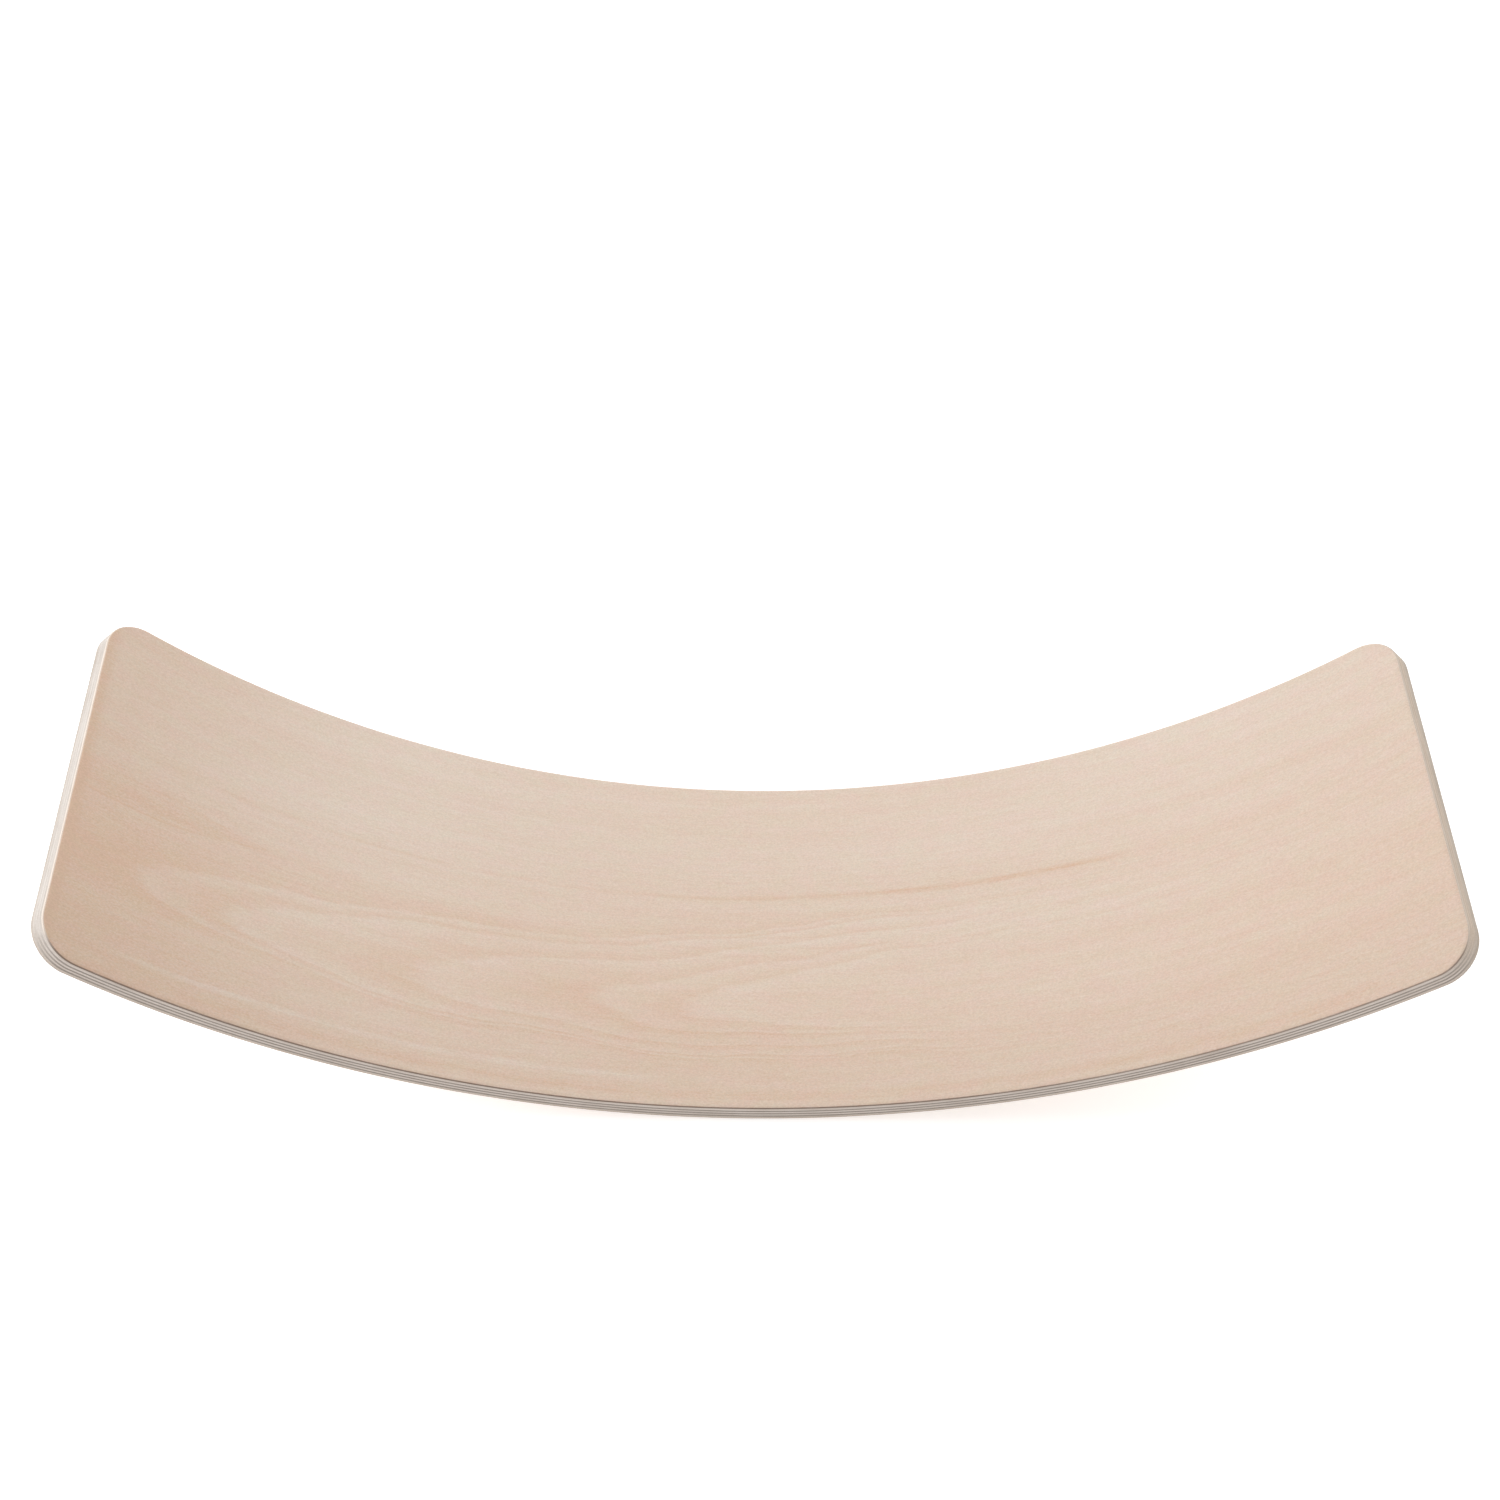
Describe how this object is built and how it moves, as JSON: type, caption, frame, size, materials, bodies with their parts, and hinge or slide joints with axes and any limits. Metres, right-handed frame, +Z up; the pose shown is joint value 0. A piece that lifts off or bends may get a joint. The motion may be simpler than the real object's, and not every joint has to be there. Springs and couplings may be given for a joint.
{
  "type": "balance board",
  "caption": "Curved balance board of bent laminated beech, hollow side up, that rocks on its convex underside while a person stands, kneels or sits on it.",
  "frame": {"origin": "middle of the flat at the lowest part of the convex underside, where the board rests on the floor, at half its length and half its width", "axes": "+X along the board's length, +Y across its width, +Z up through its hollow side"},
  "size_m": [0.901, 0.28, 0.198],
  "materials": {
    "face_beech": "finely sanded beech veneer, matt, grain along the board",
    "lengthwise_beech": "sanded edge of beech veneer with its grain along the board",
    "crosswise_beech": "sanded edge of beech veneer with its grain across the board, darker end grain on the long sides"
  },
  "bodies": {
    "root": {"top_face_leaf": "face_beech", "core_veneer_1_lengthwise": "lengthwise_beech", "core_veneer_2_lengthwise": "lengthwise_beech", "core_veneer_3_crosswise": "crosswise_beech", "core_veneer_4_lengthwise": "lengthwise_beech", "core_veneer_5_crosswise": "crosswise_beech", "core_veneer_6_lengthwise": "lengthwise_beech", "core_veneer_7_crosswise": "crosswise_beech", "core_veneer_8_lengthwise": "lengthwise_beech", "core_veneer_9_lengthwise": "lengthwise_beech", "bottom_face_leaf": "face_beech"}
  },
  "joints": []
}
